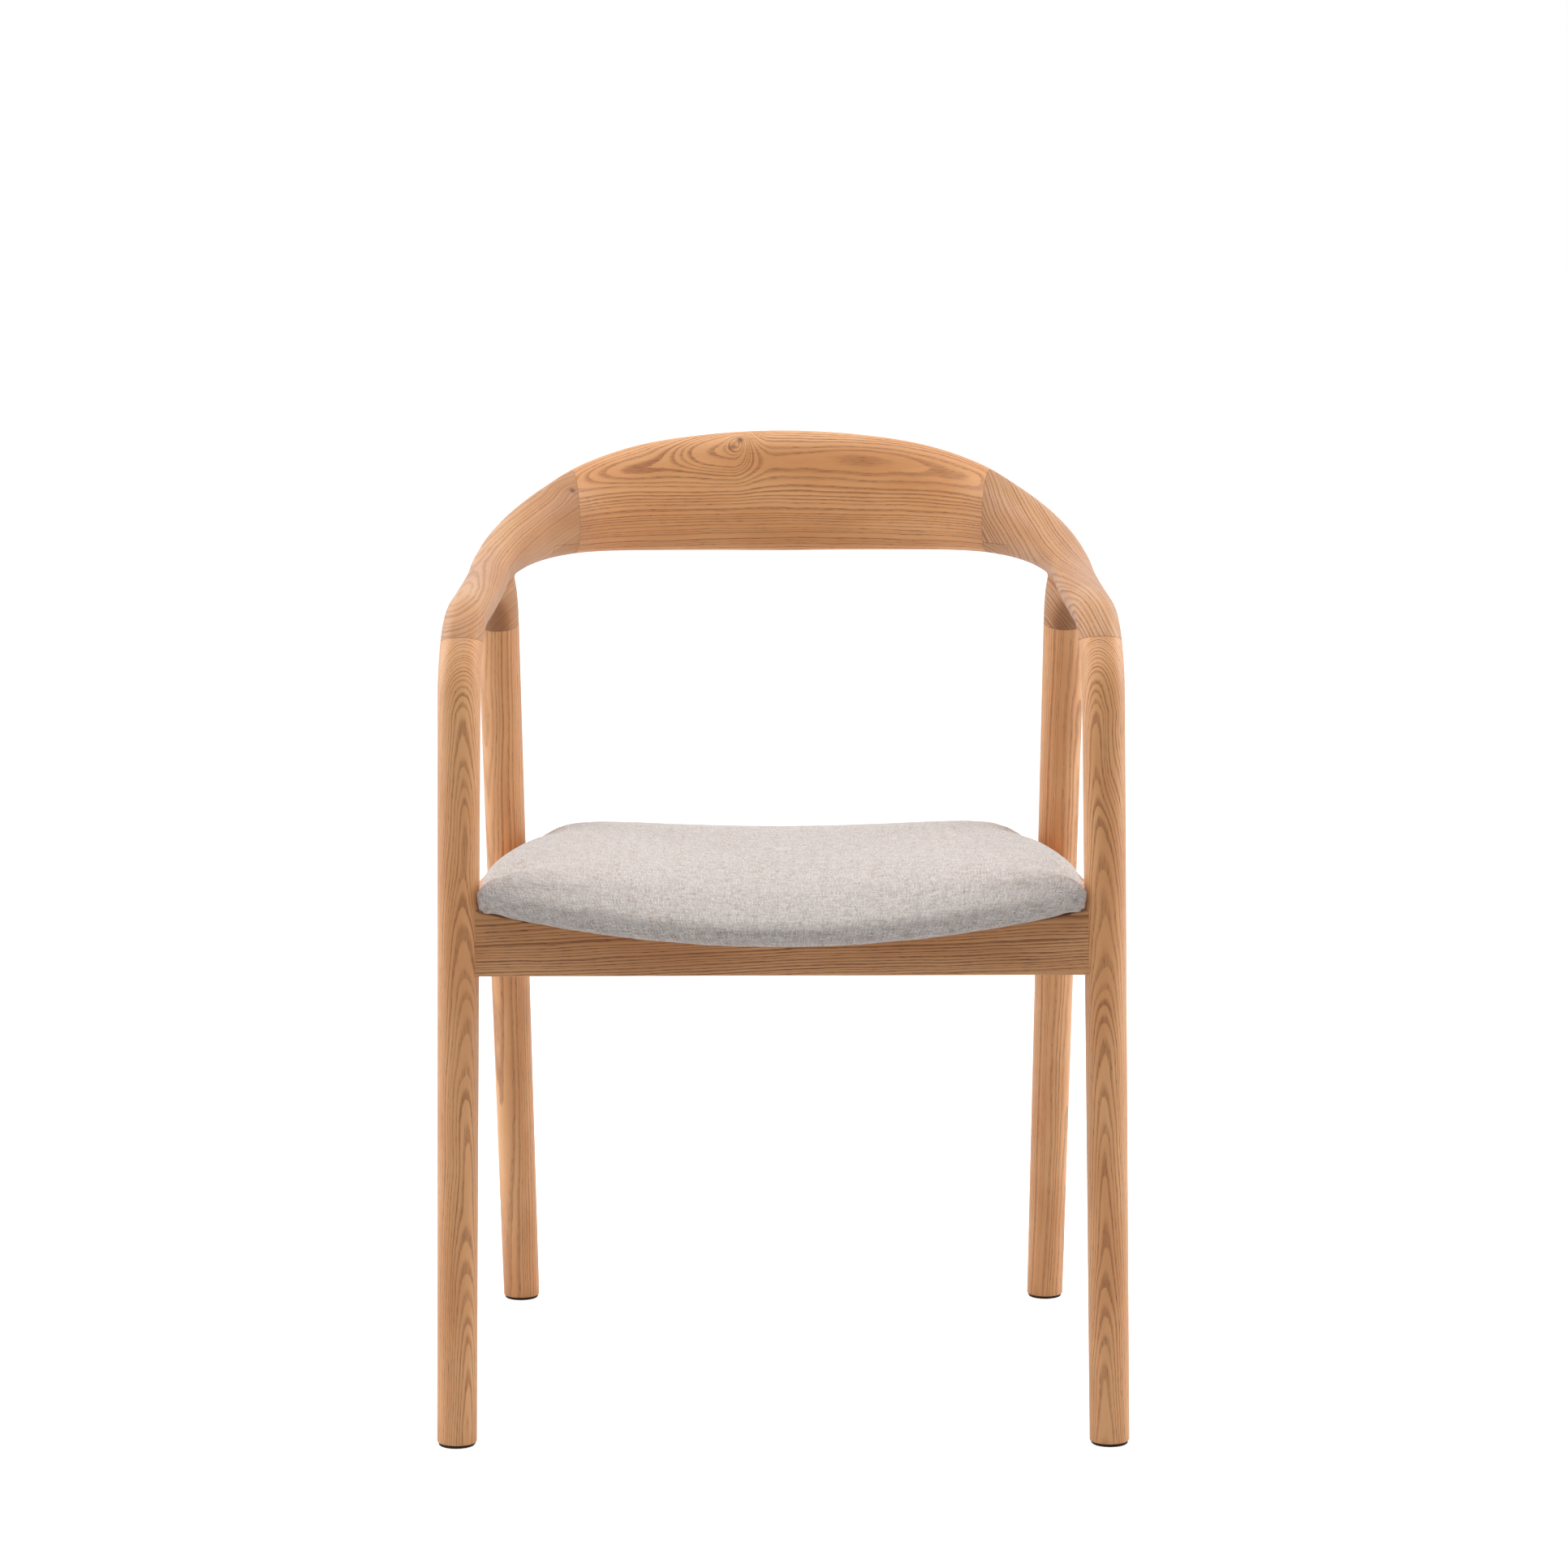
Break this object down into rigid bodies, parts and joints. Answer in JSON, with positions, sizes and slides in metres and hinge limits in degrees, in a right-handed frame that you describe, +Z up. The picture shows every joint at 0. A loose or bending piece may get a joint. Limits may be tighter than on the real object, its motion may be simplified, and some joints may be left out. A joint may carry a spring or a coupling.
{
  "type": "armchair",
  "caption": "Ash wood armchair whose round legs bend into arms and a curved back, with an upholstered saddle seat.",
  "frame": {"origin": "on the floor, under the middle of the chair's bounding box", "axes": "+Z up, -Y the way the sitter faces, +X to the right of someone who looks at the chair's front"},
  "size_m": [0.5626, 0.555, 0.7921],
  "materials": {
    "ash": "satin clear lacquer on ash",
    "plywood": "raw moulded plywood",
    "foam": "polyurethane foam",
    "fabric": "woven melange upholstery cloth, greige",
    "liner": "black non-woven cloth",
    "steel": "zinc plated",
    "glide": "dark brown nylon"
  },
  "bodies": {
    "root": {"front_leg_right": "ash", "front_leg_left": "ash", "rear_leg_right": "ash", "rear_leg_left": "ash", "arm_right": "ash", "arm_left": "ash", "arm_filler_right": "ash", "arm_filler_left": "ash", "side_rail_right": "ash", "side_rail_left": "ash", "corner_block_front_right": "ash", "corner_block_front_left": "ash", "corner_block_rear_right": "ash", "corner_block_rear_left": "ash", "leg_tenon_right": "ash", "leg_tenon_left": "ash", "rear_leg_dowel_right": "ash", "rear_leg_dowel_left": "ash", "back_dowel_upper_right": "ash", "back_dowel_upper_left": "ash", "back_dowel_lower_right": "ash", "back_dowel_lower_left": "ash", "backrest": "ash", "front_rail": "ash", "rear_rail": "ash", "corner_screw_front_cross_right": "steel", "corner_screw_front_cross_left": "steel", "corner_screw_front_side_right": "steel", "corner_screw_front_side_left": "steel", "corner_screw_rear_cross_right": "steel", "corner_screw_rear_cross_left": "steel", "corner_screw_rear_side_right": "steel", "corner_screw_rear_side_left": "steel", "seat_bolt_front_right": "steel", "seat_bolt_front_left": "steel", "seat_bolt_rear_right": "steel", "seat_bolt_rear_left": "steel", "tee_nut_front_right": "steel", "tee_nut_front_left": "steel", "tee_nut_rear_right": "steel", "tee_nut_rear_left": "steel", "glide_nail_front_right": "steel", "glide_nail_front_left": "steel", "glide_nail_rear_right": "steel", "glide_nail_rear_left": "steel", "glide_front_right": "glide", "glide_front_left": "glide", "glide_rear_right": "glide", "glide_rear_left": "glide", "seat_board": "plywood", "seat_foam": "foam", "seat_cover": "fabric", "dust_cover": "liner"}
  },
  "joints": []
}
